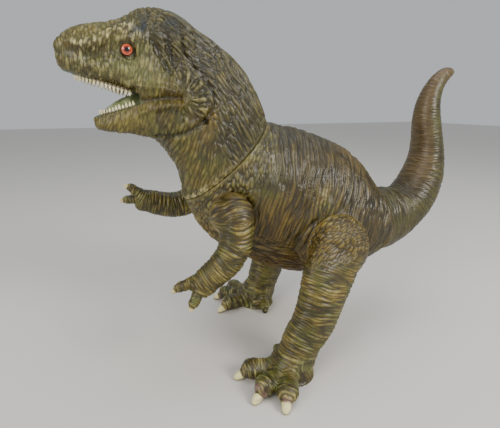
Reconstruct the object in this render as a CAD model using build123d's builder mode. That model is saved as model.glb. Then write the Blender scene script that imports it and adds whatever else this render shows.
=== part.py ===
"""Standing two-legged dinosaur figure: soft vinyl skins, fibre filled, turning on plug joints.

Frame: +X is the way the animal faces, +Y its left side, +Z up, the floor is Z = 0 and the origin
is under the middle of the figure. Millimetres.

Every skin is a hollow moulding. Neck, tail, arms and legs each end in a flat round root with a
neck and a flange. The neck of the root turns in a round hole in the torso skin and the flange
keeps it there. A hard plug closes each root and holds the filling in.
"""

import os
from math import cos, hypot, radians, sin, tan

from build123d import *

# ---- skins and joints -------------------------------------------------------------------------
WALL = 3.0  # thickness of every vinyl skin
FACE_GAP = 0.4  # between a root's flat face and its seat on the torso
TURN_CLEARANCE = 0.08  # radial, between a root's neck and the hole that it turns in
LIP = 4.0  # how far a flange reaches past its hole
FLANGE = 3.0  # thickness of a flange
BORE_END = 11.0  # how far the bore of a limb's root runs into the limb
NECK_WALL = 2.6  # wall of the tube between root and flange
PLUG_HEAD = 2.0  # plate of the plug under the flange
PLUG_SHANK = 5.0  # part of the plug inside the tube
PLUG_SLACK = 0.05  # radial, between plug and tube
FILL_GAP = 0.8  # between filling and skin
SEAT_DEPTH = 20.0  # how deep a side seat's boss is rooted in the torso
POCKET = 11.0  # depth of the hollow behind a side seat
FLANGE_ROOM = 1.2  # between torso filling and anything that turns in it

NECK_HOLE = 27.0  # radii of the holes in the torso
TAIL_HOLE = 19.0
SHOULDER_HOLE = 9.0
HIP_HOLE = 17.0

SHOULDER = (72.0, 38.0, 144.0)  # centre of the left shoulder seat
SHOULDER_DISC = 17.5  # radius of the flat root of an arm
HIP = (-22.0, 49.0, 107.0)  # centre of the left hip seat
HIP_DISC = 30.0  # radius of the flat root of a leg

# ---- trunk: (top x, z), (bottom x, z), half width ----------------------------------------------
TORSO = [
    ((29, 215), (101, 150), 40.0),
    ((14, 211), (93, 132), 44.0),
    ((-8, 206), (78, 112), 47.0),
    ((-32, 198), (54, 94), 48.0),
    ((-55, 187), (26, 79), 48.0),
    ((-75, 171), (-8, 68), 46.0),
    ((-87, 156), (-52, 66), 41.0),
    ((-96, 143), (-102, 79), 33.0),
]
TAIL = [
    ((-96, 143), (-102, 79), 33.0),
    ((-123, 144), (-143, 92), 25.5),
    ((-139, 163), (-178, 131), 21.0),
    ((-144.5, 195), (-179.5, 184), 16.0),
    ((-145, 231), (-169, 230), 11.5),
    ((-152, 247), (-171, 241), 9.0),
    ((-181, 264), (-186, 259), 3.5),
]
NECK = [
    ((29, 215), (101, 150), 40.0),
    ((33, 226), (103, 163), 40.5),
    ((40, 241), (107, 178), 40.0),
    ((52, 258), (114, 190), 38.0),
    ((70, 273), (121, 199), 35.5),
    ((92, 286), (128, 203), 32.5),
    ((115, 290), (134, 206), 29.0),
    ((132, 286), (138, 211), 25.0),
]
# ---- skull and lower jaw: x, top z, bottom z, half width ---------------------------------------
SKULL = [
    (92, 284, 230, 26.0),
    (112, 293.5, 229, 29.0),
    (124, 293.5, 231, 28.0),
    (137, 289.0, 234, 26.0),
    (150, 284.5, 237, 23.0),
    (163, 282.0, 242, 21.0),
    (174, 279.0, 246, 19.0),
    (182, 274.0, 250, 15.0),
    (187, 267.0, 256, 8.0),
]
JAW = [
    (96, 236, 204, 24.0),
    (112, 236, 203, 26.0),
    (128, 234, 203.5, 25.0),
    (140, 231, 206, 22.0),
    (152, 227, 207.5, 19.0),
    (161, 224, 209, 15.5),
    (166.5, 221, 212.5, 9.0),
]
BOX_CORNER = 0.72  # corner radius of a skull section, as a share of its half size
MOUTH_CORNER = (134.0, 231.5)  # x, z where the lips part
MOUTH_GAPE = 7.0  # height of the gap there
UPPER_LIP_SLOPE = 18.0  # degrees above level, towards the snout
LOWER_LIP_SLOPE = -16.0
MOUTH_FRONT = 200.0  # x past the snout, where the mouth cut ends
THROAT_X = 104.0  # how far back the mouth goes between the cheeks
THROAT_HALF_WIDTH = 17.0

EYE_CENTRE = (139.0, 261.0)  # x, z
EYE_DISTANCE = 24.5  # from the middle plane to the rim of the eye
EYE_RADIUS = 4.8
EYE_DOME = 2.2  # how far the eye bulges
EYE_STEM_RADIUS = 2.4
EYE_STEM = 5.0
EYE_SINK = 1.0  # depth of the socket under the rim

TOOTH_BAND_WIDTH = 2.4
TOOTH_BAND_HEIGHT = 1.4
TOOTH_LENGTH = 4.2
TOOTH_RADIUS = 1.15
TOOTH_TIP = 0.3
TOOTH_PITCH = 3.2
BAND_SLACK = 0.05  # between a tooth band and the jaw that it sits on
UPPER_BAND = [(139, 20.5), (152, 18.5), (165, 15.5), (176, 10.0), (181, 0.0)]
LOWER_BAND = [(137, 18.5), (147, 17.0), (156, 13.5), (162, 7.5), (164, 0.0)]

# ---- left arm, hanging straight down from its seat: x, outward, z, half depth, half width, lean --
ARM = [
    (-1.0, 13.5, 9.0, 13.0, 11.0, -90),
    (-0.5, 14.0, -6.0, 14.0, 12.0, -90),
    (1.0, 14.5, -20.0, 13.5, 12.0, -80),
    (7.5, 14.5, -33.5, 12.8, 11.5, -58),
    (18.0, 14.0, -43.5, 11.8, 10.5, -43),
    (27.0, 13.5, -51.0, 11.0, 9.5, -40),
    (33.0, 13.0, -56.0, 9.0, 7.5, -40),
]
ARM_CAP = [(0.0, 17.5), (7.0, 17.0), (14.0, 15.0), (20.0, 10.5), (24.5, 0.0)]  # outward, radius
FINGERS = [((26.0, 10.5, -48.0), (45.0, 8.5, -53.0)), ((28.0, 15.5, -50.0), (36.5, 17.5, -63.0))]
FINGER_RADIUS = (6.6, 5.2)  # at the palm, at the tip
FINGER_CLAW = (2.6, 0.7, 5.0)  # root radius, tip radius, length
LEFT_ARM_TURN = 0.0  # degrees that the arm is turned forward of hanging
RIGHT_ARM_TURN = 57.0

# ---- left leg: x and z from the hip, y from the hip seat, half depth, half width -----------------
TAIL_HOLLOW = 4  # the tail is hollow up to this section

LEG_CAP = [(0.0, 30.0), (6.0, 29.5), (14.0, 26.0), (20.0, 19.0), (25.0, 0.0)]  # outward, radius
LEG = [
    (1.0, 13.0, 15.0, 24.0, 11.0),
    (10.0, 14.5, -7.0, 26.5, 13.5),
    (16.5, 15.5, -22.0, 25.0, 15.0),
    (22.0, 16.0, -39.0, 22.0, 15.5),
    (27.5, 16.0, -57.0, 20.5, 15.5),
    (35.0, 15.5, -71.0, 19.0, 15.5),
    (42.0, 15.5, -85.0, 18.5, 16.0),
]
FOOT_BALL = (26.0, 64.0, 12.0)  # centre of the left foot's ball
FOOT_PAD = (20.0, 14.0, 24.0)  # bottom radius, top radius, height
LEG_LEAN = [-80, -75, -69, -66, -64, -60, -57]  # degrees, the way each leg section faces
RIGHT_FOOT_BACK = 18.0  # how far the right foot stands behind the left one
TOES = [  # name, heading from straight ahead, length to the claw
    ("inner", -10.0, 37.0),
    ("middle", 28.0, 38.0),
    ("outer", 58.0, 36.0),
]
TOE_RADIUS = (9.5, 8.8)  # at the ball, at the claw
TOE_HEIGHT = 9.0
CLAW = (6.0, 1.8, 13.0)  # root radius, tip radius, length
SPUR = ((-3.0, -13.0), (1.0, -29.0), 6.5, 5.5)  # back toe: root, tip from the ball, radii
SPUR_HEIGHT = 7.0


def lofted(sections, shape="oval"):
    """A smooth solid through ovals, rounds or rounded boxes: (plane, half width, half height)."""
    with BuildPart() as body:
        for plane, half_width, half_height in sections:
            with BuildSketch(plane):
                if shape == "box":
                    corner = BOX_CORNER * min(half_width, half_height)
                    RectangleRounded(2 * half_width, 2 * half_height, corner)
                elif shape == "round":
                    Circle((half_width + half_height) / 2)
                else:
                    Ellipse(half_width, half_height)
        loft()
    return body.part


def inset(sections, by):
    """The same sections, smaller all round and drawn in at both ends."""
    smaller = [(plane, w - by, h - by) for plane, w, h in sections]
    first, last = sections[0][0], sections[-1][0]
    inward = (sections[1][0].origin - first.origin).dot(first.z_dir)
    step = by if inward > 0 else -by
    smaller[0] = (first.offset(step), *smaller[0][1:])
    smaller[-1] = (last.offset(-step), *smaller[-1][1:])
    return smaller


def trunk_sections(rows):
    """Ovals that stand across the middle plane, from the top line to the bottom line."""
    sections = []
    for (top_x, top_z), (low_x, low_z), half_width in rows:
        centre = ((top_x + low_x) / 2, 0, (top_z + low_z) / 2)
        height = hypot(top_x - low_x, top_z - low_z)
        across = Plane(
            origin=centre,
            x_dir=(0, 1, 0),
            z_dir=((top_z - low_z) / height, 0, -(top_x - low_x) / height),
        )
        sections.append((across, half_width, height / 2))
    return sections


def upright_sections(rows):
    """Ovals square to X."""
    return [
        (Plane(origin=(x, 0, (top + low) / 2), x_dir=(0, 1, 0), z_dir=(1, 0, 0)), w, (top - low) / 2)
        for x, top, low, w in rows
    ]


def seat(rows_plane, outward):
    """The plane of a trunk seat, facing the piece that turns on it."""
    return Plane(origin=rows_plane.origin, x_dir=(0, 1, 0), z_dir=outward)


def side_plane(centre, side):
    """A seat on the left (side 1) or right (side -1) of the torso, facing outward."""
    x, y, z = centre
    return Plane(origin=(x, side * y, z), x_dir=(1, 0, 0), z_dir=(0, side, 0))


NECK_PLANE = trunk_sections(NECK)[0][0]
TAIL_PLANE = seat(trunk_sections(TAIL)[0][0], -trunk_sections(TAIL)[0][0].z_dir)
SEATS = {
    "neck": (NECK_PLANE, NECK_HOLE),
    "tail": (TAIL_PLANE, TAIL_HOLE),
    "left_shoulder": (side_plane(SHOULDER, 1), SHOULDER_HOLE),
    "right_shoulder": (side_plane(SHOULDER, -1), SHOULDER_HOLE),
    "left_hip": (side_plane(HIP, 1), HIP_HOLE),
    "right_hip": (side_plane(HIP, -1), HIP_HOLE),
}
SIDES = ("left", "right")
SIDE_DISCS = (("shoulder", SHOULDER_DISC), ("hip", HIP_DISC))
FLANGE_TOP = -(WALL + FACE_GAP)  # depths along a seat's axis
FLANGE_END = FLANGE_TOP - FLANGE
PLUG_END = FLANGE_END - PLUG_HEAD
PLUG_TOP = FLANGE_END + PLUG_SHANK


def bore_radius(hole):
    return hole - TURN_CLEARANCE - NECK_WALL


def drum(plane, radius, start, end):
    """A round bar along a plane's axis, from one depth to another."""
    with BuildPart() as bar:
        with BuildSketch(plane.offset(start)):
            Circle(radius)
        extrude(amount=end - start)
    return bar.part


def root(plane, hole):
    """The neck and flange by which a piece turns in the torso."""
    with BuildPart() as turned:
        add(drum(plane, hole - TURN_CLEARANCE, FACE_GAP + WALL, FLANGE_END))
        add(drum(plane, hole + LIP, FLANGE_TOP, FLANGE_END))
    return turned.part


def root_bore(plane, hole):
    return drum(plane, bore_radius(hole), FACE_GAP + WALL + 1, FLANGE_END)


def plug(plane, hole):
    with BuildPart() as stopper:
        add(drum(plane, bore_radius(hole) - PLUG_SLACK, PLUG_TOP, FLANGE_END))
        add(drum(plane, hole + LIP - 1, FLANGE_END, PLUG_END))
    return stopper.part


def tapered(start, end, start_radius, end_radius):
    """A round bar that narrows from start to end, with a ball at its end."""
    along = Vector(*end) - Vector(*start)
    with BuildPart() as bar:
        with Locations(Plane(origin=start, z_dir=along)):
            Cone(start_radius, end_radius, along.length, align=(Align.CENTER, Align.CENTER, Align.MIN))
        with Locations(end):
            Sphere(end_radius)
    return bar.part


def neck_filling(plane, hole):
    """Filling that stands in a root's neck, down to the plug."""
    return drum(plane, bore_radius(hole) - FILL_GAP, FACE_GAP + WALL + 2, PLUG_TOP + FILL_GAP)


def write(name, part):
    part.label = name
    export_step(part, f"parts/{name}.step")


os.makedirs("parts", exist_ok=True)


# ---- torso ---------------------------------------------------------------------------------------
def torso_void(gap):
    """What is inside the torso skin, kept that gap from it, with the seats left standing."""
    with BuildPart() as void:
        add(lofted(inset(trunk_sections(TORSO), WALL + gap)))
        for name, disc in SIDE_DISCS:
            for side in SIDES:
                plane = SEATS[f"{side}_{name}"][0]
                add(drum(plane, disc + WALL, -(WALL + gap), 30), mode=Mode.SUBTRACT)
                add(drum(plane, disc - WALL - gap, -(WALL + gap), gap - POCKET))
    return void.part


with BuildPart() as torso_skin:
    add(lofted(trunk_sections(TORSO)))
    for joint, disc in SIDE_DISCS:
        for side in SIDES:
            add(drum(SEATS[f"{side}_{joint}"][0], disc, -SEAT_DEPTH, 0))
            add(drum(SEATS[f"{side}_{joint}"][0], disc + 0.8, 0, 30), mode=Mode.SUBTRACT)
    add(torso_void(0), mode=Mode.SUBTRACT)
    for plane, hole in SEATS.values():
        add(drum(plane, hole, 1, -WALL - 1), mode=Mode.SUBTRACT)
write("torso_skin", torso_skin.part)

with BuildPart() as torso_filling:
    add(torso_void(FILL_GAP))
    for plane, hole in SEATS.values():
        room = drum(plane, hole + LIP + FLANGE_ROOM, 1, PLUG_END - FLANGE_ROOM)
        add(room, mode=Mode.SUBTRACT)
write("torso_filling", torso_filling.part)

# ---- tail ----------------------------------------------------------------------------------------
tail_rows = trunk_sections(TAIL)
tail_rows[0] = (tail_rows[0][0].offset(-FACE_GAP), *tail_rows[0][1:])
with BuildPart() as tail_skin:
    add(lofted(tail_rows, "round"))
    add(root(*SEATS["tail"]))
    add(lofted(inset(tail_rows[:TAIL_HOLLOW], WALL), "round"), mode=Mode.SUBTRACT)
    add(root_bore(*SEATS["tail"]), mode=Mode.SUBTRACT)
write("tail_skin", tail_skin.part)

with BuildPart() as tail_filling:
    add(lofted(inset(tail_rows[:TAIL_HOLLOW], WALL + FILL_GAP), "round"))
    add(neck_filling(*SEATS["tail"]))
write("tail_filling", tail_filling.part)

# ---- head and neck -------------------------------------------------------------------------------
neck_rows = trunk_sections(NECK)
neck_rows[0] = (neck_rows[0][0].offset(FACE_GAP), *neck_rows[0][1:])


def lip_plane(slope, side):
    """The plane of a lip. Its X runs along the lip to the snout and its Z into the mouth."""
    x, z = MOUTH_CORNER
    tilt = radians(slope)
    return Plane(
        origin=(x, 0, z + side * MOUTH_GAPE / 2),
        x_dir=(cos(tilt), 0, sin(tilt)),
        z_dir=(side * sin(tilt), 0, -side * cos(tilt)),
    )


UPPER_LIP = lip_plane(UPPER_LIP_SLOPE, 1)
LOWER_LIP = lip_plane(LOWER_LIP_SLOPE, -1)


def mouth(grow):
    """The space between the jaws and, between the cheeks, back to the throat."""
    x, z = MOUTH_CORNER
    reach = MOUTH_FRONT - x
    half = MOUTH_GAPE / 2 + grow
    upper = z + half + reach * tan(radians(UPPER_LIP_SLOPE))
    lower = z - half + reach * tan(radians(LOWER_LIP_SLOPE))
    with BuildPart() as gap:
        with BuildSketch(Plane.XZ):
            with BuildLine():
                Polyline((x, z + half), (MOUTH_FRONT, upper), (MOUTH_FRONT, lower), (x, z - half), close=True)
            make_face()
        extrude(amount=60, both=True)
        with BuildSketch(Plane.XZ):
            with Locations(((THROAT_X + x + 2) / 2, z)):
                Rectangle(x + 2 - THROAT_X + 2 * grow, 2 * half)
        extrude(amount=THROAT_HALF_WIDTH + grow, both=True)
    return gap.part


def head_void(gap):
    """What is inside the head, kept that gap from its skin."""
    with BuildPart() as void:
        add(lofted(inset(neck_rows, WALL + gap)))
        add(lofted(inset(upright_sections(SKULL[:-1]), WALL + gap), "box"))
        add(mouth(WALL + gap), mode=Mode.SUBTRACT)
    return void.part.solids().sort_by(SortBy.VOLUME)[-1]


def eye_plane(side):
    x, z = EYE_CENTRE
    return Plane(origin=(x, side * EYE_DISTANCE, z), x_dir=(1, 0, 0), z_dir=(0, side, 0))


with BuildPart() as head_neck_skin:
    add(lofted(neck_rows))
    add(lofted(upright_sections(SKULL), "box"))
    add(lofted(upright_sections(JAW), "box"))
    add(mouth(0), mode=Mode.SUBTRACT)
    add(root(*SEATS["neck"]))
    add(head_void(0), mode=Mode.SUBTRACT)
    add(root_bore(*SEATS["neck"]), mode=Mode.SUBTRACT)
    for side in (1, -1):
        add(drum(eye_plane(side), EYE_RADIUS + PLUG_SLACK, 10, -EYE_SINK), mode=Mode.SUBTRACT)
        add(drum(eye_plane(side), EYE_STEM_RADIUS + PLUG_SLACK, 1, -EYE_SINK - 8), mode=Mode.SUBTRACT)
write("head_neck_skin", head_neck_skin.part)

with BuildPart() as head_filling:
    add(head_void(FILL_GAP))
    add(neck_filling(*SEATS["neck"]))
    for side in (1, -1):
        stem_room = drum(eye_plane(side), EYE_STEM_RADIUS + 1, 1, -EYE_SINK - EYE_STEM - 1)
        add(stem_room, mode=Mode.SUBTRACT)
write("head_filling", head_filling.part)

# ---- eyes ----------------------------------------------------------------------------------------
for name, side in (("left_eye", 1), ("right_eye", -1)):
    with BuildPart() as eye:
        add(drum(eye_plane(side), EYE_RADIUS, -EYE_SINK + PLUG_SLACK, 0))
        add(drum(eye_plane(side), EYE_STEM_RADIUS, -EYE_SINK - EYE_STEM, 0))
        ball = (EYE_RADIUS**2 + EYE_DOME**2) / (2 * EYE_DOME)
        dome_plane = eye_plane(side)
        with Locations(dome_plane.offset(EYE_DOME - ball)):
            Sphere(ball)
        add(drum(dome_plane, 2 * ball, 0, -3 * ball), mode=Mode.SUBTRACT)
        add(drum(eye_plane(side), EYE_RADIUS, -EYE_SINK + PLUG_SLACK, 0))
        add(drum(eye_plane(side), EYE_STEM_RADIUS, -EYE_SINK - EYE_STEM, 0))
    write(name, eye.part)

# ---- teeth: a strip along each jaw ---------------------------------------------------------------
for name, lip, band in (("upper_teeth", UPPER_LIP, UPPER_BAND), ("lower_teeth", LOWER_LIP, LOWER_BAND)):
    run = [((x - MOUTH_CORNER[0]) / lip.x_dir.X, y) for x, y in band]
    run = run + [(x, -y) for x, y in reversed(run[:-1])]
    gum = lip.offset(BAND_SLACK)
    with BuildPart() as strip:
        with BuildSketch(gum):
            with BuildLine():
                arch = Spline(*run)
            trace(line_width=TOOTH_BAND_WIDTH)
        extrude(amount=TOOTH_BAND_HEIGHT)
        teeth = int(arch.length / TOOTH_PITCH)
        spots = [arch @ ((i + 0.5) / teeth) for i in range(teeth)]
        for spot in spots:
            with Locations(gum * Location((spot.X, spot.Y, TOOTH_BAND_HEIGHT / 2))):
                Cone(TOOTH_RADIUS, TOOTH_TIP, TOOTH_LENGTH, align=(Align.CENTER, Align.CENTER, Align.MIN))
    write(name, strip.part)


# ---- arms ----------------------------------------------------------------------------------------
def cap(plane, rows):
    """The domed outer side of a shoulder or a hip, turned about the seat's axis."""
    with BuildPart() as dome:
        with BuildSketch(Plane(origin=plane.origin, x_dir=(1, 0, 0), z_dir=(0, 0, 1))):
            with BuildLine():
                Polyline((0, rows[-1][0]), (0, FACE_GAP), (rows[0][1], FACE_GAP))
                Spline(*[(radius, out) for out, radius in [(FACE_GAP, rows[0][1])] + rows[1:]])
            make_face()
        revolve(axis=Axis(plane.origin, (0, 1, 0)))
    return dome.part


def limb_sections(x, y, z, rows, leans):
    """Ovals down a limb, each facing the way that the limb runs there."""
    sections = []
    for (dx, dy, dz, half_depth, half_width), lean in zip(rows, leans):
        tilt = radians(lean)
        across = Plane(
            origin=(x + dx, y + dy, z + dz), x_dir=(0, 1, 0), z_dir=(cos(tilt), 0, sin(tilt))
        )
        sections.append((across, half_width, half_depth))
    return sections


def limb_void(plane, hole, sections, gap):
    """The hollow of a limb, joined to the bore of its root."""
    with BuildPart() as void:
        add(lofted(inset(sections, WALL + gap)))
        add(drum(plane, bore_radius(hole) - gap, BORE_END - gap, PLUG_TOP + gap if gap else FLANGE_END))
    return void.part


arm_sections = limb_sections(*SHOULDER, [row[:5] for row in ARM], [row[5] for row in ARM])
for side, mirrored, turn in (("left", False, LEFT_ARM_TURN), ("right", True, RIGHT_ARM_TURN)):
    seat_plane, hole = SEATS["left_shoulder"]
    with BuildPart() as arm:
        add(cap(seat_plane, ARM_CAP))
        add(lofted(arm_sections))
        for start, end in FINGERS:
            knuckle = Vector(*SHOULDER) + Vector(*start)
            tip = Vector(*SHOULDER) + Vector(*end)
            forward = (tip - knuckle).normalized()
            add(tapered(knuckle, tip, *FINGER_RADIUS))
            claw_end = tip + (forward + Vector(0, 0, -0.3)).normalized() * (FINGER_RADIUS[1] + FINGER_CLAW[2] - 2)
            add(tapered(tip, claw_end, FINGER_CLAW[0] + 1, FINGER_CLAW[1]))
        add(root(seat_plane, hole))
        add(limb_void(seat_plane, hole, arm_sections[:-1], 0), mode=Mode.SUBTRACT)
    with BuildPart() as arm_fill:
        add(limb_void(seat_plane, hole, arm_sections[:-1], FILL_GAP))
    pivot = Axis((SHOULDER[0], 0, SHOULDER[2]), (0, -1, 0))
    for name, piece in (("skin", arm.part), ("filling", arm_fill.part)):
        placed = mirror(piece, about=Plane.XZ) if mirrored else piece
        write(f"{side}_arm_{name}", placed.rotate(pivot, turn))

# ---- legs ----------------------------------------------------------------------------------------
for side, mirrored, back in (("left", False, 0.0), ("right", True, RIGHT_FOOT_BACK)):
    seat_plane, hole = SEATS["left_hip"]
    drop = LEG[-1][2]
    rows = [(dx - back * dz / drop if dz < 0 else dx, dy, dz, hd, hw) for dx, dy, dz, hd, hw in LEG]
    sections = limb_sections(*HIP, rows, LEG_LEAN)
    ball = Vector(FOOT_BALL[0] - back, FOOT_BALL[1], FOOT_BALL[2])
    with BuildPart() as leg:
        add(cap(seat_plane, LEG_CAP))
        add(lofted(sections))
        with Locations((ball.X, ball.Y, -1)):
            Cone(*FOOT_PAD, align=(Align.CENTER, Align.CENTER, Align.MIN))
        for toe, heading, length in TOES:
            way = Vector(cos(radians(heading)), sin(radians(heading)), 0)
            knuckle = Vector(ball.X, ball.Y, TOE_HEIGHT)
            tip = knuckle + way * length
            add(tapered(knuckle, tip, *TOE_RADIUS))
            claw_end = Vector(tip.X, tip.Y, CLAW[1]) + way * CLAW[2]
            add(tapered(tip, claw_end, CLAW[0], CLAW[1]))
        (root_x, root_y), (tip_x, tip_y), root_r, tip_r = SPUR
        spur_root = Vector(ball.X + root_x, ball.Y + root_y, SPUR_HEIGHT)
        spur_tip = Vector(ball.X + tip_x, ball.Y + tip_y, SPUR_HEIGHT - 1)
        add(tapered(spur_root, spur_tip, root_r, tip_r))
        with Locations((ball.X, ball.Y, -50)):
            Box(300, 300, 100, mode=Mode.SUBTRACT)
        add(root(seat_plane, hole))
        add(limb_void(seat_plane, hole, sections, 0), mode=Mode.SUBTRACT)
    with BuildPart() as leg_fill:
        add(limb_void(seat_plane, hole, sections, FILL_GAP))
    for name, piece in (("skin", leg.part), ("filling", leg_fill.part)):
        write(f"{side}_leg_{name}", mirror(piece, about=Plane.XZ) if mirrored else piece)

# ---- plugs ---------------------------------------------------------------------------------------
for joint, (plane, hole) in SEATS.items():
    write(f"{joint}_plug", plug(plane, hole))
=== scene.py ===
"""A standing dinosaur figure in soft vinyl: deep moulded skin folds, sprayed paint and a satin varnish."""

import math

import bmesh
import bpy
import numpy as np
from mathutils import Matrix, Vector
from mathutils.bvhtree import BVHTree


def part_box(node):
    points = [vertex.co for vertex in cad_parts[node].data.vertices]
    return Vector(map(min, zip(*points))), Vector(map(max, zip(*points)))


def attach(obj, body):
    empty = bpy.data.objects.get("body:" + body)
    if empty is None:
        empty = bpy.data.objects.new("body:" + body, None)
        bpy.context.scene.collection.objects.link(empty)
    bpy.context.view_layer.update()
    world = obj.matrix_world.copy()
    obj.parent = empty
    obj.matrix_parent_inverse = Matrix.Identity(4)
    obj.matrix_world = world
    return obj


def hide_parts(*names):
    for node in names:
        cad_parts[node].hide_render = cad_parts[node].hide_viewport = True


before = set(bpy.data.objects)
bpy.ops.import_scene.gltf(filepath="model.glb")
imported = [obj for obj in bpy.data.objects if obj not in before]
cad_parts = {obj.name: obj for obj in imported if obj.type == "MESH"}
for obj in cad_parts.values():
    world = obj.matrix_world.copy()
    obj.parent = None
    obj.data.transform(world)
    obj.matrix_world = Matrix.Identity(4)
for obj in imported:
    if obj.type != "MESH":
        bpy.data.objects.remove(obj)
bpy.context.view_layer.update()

MM = 0.001
THIN_FOLD = 0.36  # width of a crack as a share of its cell
BELLY_FOLD = 0.38
WIDE_FOLD = 0.42


# ---- numbers along a surface ---------------------------------------------------------------------
def points_of(mesh):
    """Vertex positions in millimetres."""
    flat = np.empty(len(mesh.vertices) * 3)
    mesh.vertices.foreach_get("co", flat)
    return flat.reshape(-1, 3) / MM


def normals_of(mesh):
    flat = np.empty(len(mesh.vertices) * 3)
    mesh.vertex_normals.foreach_get("vector", flat)
    return flat.reshape(-1, 3)


def edges_of(mesh):
    flat = np.empty(len(mesh.edges) * 2, dtype=np.int32)
    mesh.edges.foreach_get("vertices", flat)
    return flat.reshape(-1, 2)


def surface_of(piece):
    return piece.data, edges_of(piece.data), points_of(piece.data)


def place_points(mesh, points):
    """Moves the vertices, and gives the normals that they then have."""
    mesh.vertices.foreach_set("co", (points * MM).ravel())
    mesh.update()
    return normals_of(mesh)


def columns(x, y, z):
    """Three lists of numbers as one list of places."""
    return np.stack([x, y, z], axis=1)


def folded(points):
    """The points with the right side laid over the left."""
    return columns(points[:, 0], np.abs(points[:, 1]), points[:, 2])


def soft(value, low, high):
    """0 below low, 1 above high, smooth between."""
    t = np.clip((value - low) / (high - low), 0, 1)
    return t * t * (3 - 2 * t)


def bell(value, middle, width):
    """1 at the middle value, fading out over a width."""
    return np.exp(-(((value - middle) / width) ** 2))


def mound(points, centre, radius):
    """1 at a centre, fading out over a radius."""
    return bell(np.linalg.norm(points - np.array(centre, float), axis=1), 0, radius)


def run(points, line):
    """Distance to a bent line, the length gone along it, and the way to the point from it."""
    line = np.array(line, float)
    best = np.full(len(points), 1e9)
    gone = np.zeros(len(points))
    off = np.zeros_like(points)
    heading = np.zeros_like(points)
    start = 0.0
    for a, b in zip(line[:-1], line[1:]):
        step = b - a
        length = np.linalg.norm(step)
        t = np.clip((points - a) @ step / length**2, 0, 1)
        reach = points - (a + t[:, None] * step)
        gap = np.linalg.norm(reach, axis=1)
        near = gap < best
        best = np.where(near, gap, best)
        gone = np.where(near, start + ((points - a) @ step) / length, gone)
        off[near] = reach[near]
        heading[near] = step / length
        start += length
    return best, gone, off, heading


def welt(points, line, width):
    """1 on a bent line, fading out over a width."""
    return bell(run(points, line)[0], 0, width)


def shuffled(i, j, k, seed):
    """A fixed number from 0 to 1 for each whole-number place."""
    h = (i * 73856093) ^ (j * 19349663) ^ (k * 83492791) ^ (seed * 40503)
    h = h & 0xFFFFFFFF
    h = ((h ^ (h >> 15)) * 2246822519) & 0xFFFFFFFF
    h = ((h ^ (h >> 13)) * 3266489917) & 0xFFFFFFFF
    return ((h ^ (h >> 16)) & 0xFFFFFF) / 0xFFFFFF


def drift(points, size, seed):
    """Slow random variation, -1 to 1, with bumps of that size in millimetres."""
    q = points / size
    base = np.floor(q).astype(np.int64)
    t = q - base
    t = t * t * (3 - 2 * t)
    total = np.zeros(len(points))
    for dx in (0, 1):
        for dy in (0, 1):
            for dz in (0, 1):
                wx = t[:, 0] if dx else 1 - t[:, 0]
                wy = t[:, 1] if dy else 1 - t[:, 1]
                wz = t[:, 2] if dz else 1 - t[:, 2]
                total += wx * wy * wz * shuffled(base[:, 0] + dx, base[:, 1] + dy, base[:, 2] + dz, seed)
    return total * 2 - 1


def cracks(q, seed, width):
    """1 in the cracks between irregular cells one unit apart, 0 on the cells, and the cell height."""
    base = np.floor(q).astype(np.int64)
    first = np.full(len(q), 9.0)
    second = np.full(len(q), 9.0)
    for dx in (-1, 0, 1):
        for dy in (-1, 0, 1):
            for dz in (-1, 0, 1):
                i, j, k = base[:, 0] + dx, base[:, 1] + dy, base[:, 2] + dz
                gx = i + shuffled(i, j, k, seed) - q[:, 0]
                gy = j + shuffled(i, j, k, seed + 1) - q[:, 1]
                gz = k + shuffled(i, j, k, seed + 2) - q[:, 2]
                gap = gx * gx + gy * gy + gz * gz
                second = np.minimum(second, np.maximum(first, gap))
                first = np.minimum(first, gap)
    first, second = np.sqrt(first), np.sqrt(second)
    return np.clip(1 - (second - first) / width, 0, 1) ** 1.4, np.clip(1 - first, 0, 1)


def wander(points, amount, size, seed):
    """The points, shifted about slowly, so that folds never run straight."""
    return points + columns(*(drift(points, size, seed + n) for n in range(3))) * amount


def streaks(points, way, across, along, seed, width=WIDE_FOLD):
    """Folds that run one way: across is their spacing and along their length."""
    way = np.array(way, float)
    way = way / np.linalg.norm(way)
    q = wander(points, across * 0.9, across * 5.5, seed)
    q = q / across - np.outer(q @ way, way) * (1 / across - 1 / along)
    return cracks(q, seed, width)


def rings(points, line, across, along, seed, width=WIDE_FOLD):
    """Folds that go round a limb."""
    q = wander(points, across * 0.8, across * 6.0, seed)
    _, gone, off, heading = run(q, line)
    side = np.cross(heading, [0, 1, 0])
    norm = np.linalg.norm(side, axis=1)
    side = np.where(norm[:, None] > 0.3, side / np.maximum(norm, 0.3)[:, None], [1, 0, 0])
    up = np.cross(side, heading)
    lean = (off * side).sum(1)
    rise = (off * up).sum(1)
    return cracks(columns(gone / across, lean / along, rise / along), seed, width)


def lengthways(points, line, across, along, seed, width=WIDE_FOLD):
    """Folds that follow a limb or a neck from end to end."""
    q = wander(points, across * 0.8, across * 6.0, seed)
    _, gone, off, heading = run(q, line)
    up = np.cross([0.0, 1.0, 0.0], heading)
    return cracks(columns(gone / along, off[:, 1] / across, (off * up).sum(1) / across), seed, width)


def blend_folds(choices):
    """Several fold patterns, each with its own weight, as one."""
    total = sum(weight for _, weight in choices) + 1e-9
    crack = sum(pattern[0] * weight for pattern, weight in choices) / total
    crown = sum(pattern[1] * weight for pattern, weight in choices) / total
    return crack, crown


# ---- one closed skin for each moulding -----------------------------------------------------------
WELD = 0.02  # in millimetres, like every size here unless it says otherwise
FILLING_SWELL = 1.15  # takes a filling past the 0.8 mm between it and its skin
LIFT = 0.6
LOOK = 0.11  # how far a ray goes from a buried point, in metres
FEW_HIDDEN = 0.05
INSIDE_CUT = 0.9
MOST_TRIANGLES = 196000


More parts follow.
